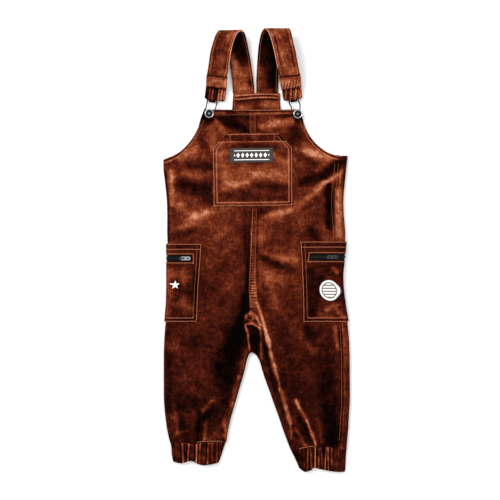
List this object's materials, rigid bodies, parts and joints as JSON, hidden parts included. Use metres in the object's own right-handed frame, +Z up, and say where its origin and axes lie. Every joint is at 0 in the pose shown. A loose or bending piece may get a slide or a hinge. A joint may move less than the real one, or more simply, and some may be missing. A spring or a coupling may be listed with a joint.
{
  "type": "toddler dungarees",
  "caption": "Toddler dungarees in rust-brown fine corduroy with bib pocket, zipped side pockets, buckled straps and elastic ankle cuffs, laid flat",
  "frame": {"origin": "centre of the laid-out garment's outline box, on the surface it lies on", "axes": "+X across the garment to the right of the view, +Y from the ankles to the straps, +Z up from the surface"},
  "size_m": [0.2896, 0.6828, 0.03],
  "materials": {
    "corduroy": "fine needlecord pile, velvety",
    "zip_tape": "woven black tape with coil teeth",
    "woven_label": "woven charcoal label",
    "dark_metal": "dark nickel",
    "bright_metal": "polished silver"
  },
  "bodies": {
    "garment": {"front_left": "corduroy", "back_left": "corduroy", "cuff_front_left": "corduroy", "cuff_back_left": "corduroy", "cargo_pocket_left": "corduroy", "zip_tape_left": "zip_tape", "front_right": "corduroy", "back_right": "corduroy", "cuff_front_right": "corduroy", "cuff_back_right": "corduroy", "cargo_pocket_right": "corduroy", "zip_tape_right": "zip_tape", "back_bib": "corduroy", "bib_pocket": "corduroy", "bib_label": "woven_label", "strap_left": "corduroy", "keeper_left": "corduroy", "strap_end_left": "corduroy", "buckle_wire_left": "dark_metal", "button_left": "bright_metal", "strap_right": "corduroy", "keeper_right": "corduroy", "strap_end_right": "corduroy", "buckle_wire_right": "dark_metal", "button_right": "bright_metal", "zip_slider_left": "dark_metal", "zip_slider_right": "dark_metal"},
    "pull_left": {"zip_pull_left": "dark_metal"},
    "pull_right": {"zip_pull_right": "dark_metal"}
  },
  "joints": [
    {"name": "pull_left_hinge", "type": "hinge", "parent": "garment", "child": "pull_left", "pos_m": [-0.11573, -0.01337, 0.0152], "axis": [0, -1, 0.0002], "range_deg": [0, 165]},
    {"name": "pull_right_hinge", "type": "hinge", "parent": "garment", "child": "pull_right", "pos_m": [0.12176, -0.0113, 0.01653], "axis": [0.0027, 0.9999, -0.0164], "range_deg": [0, 165]}
  ]
}
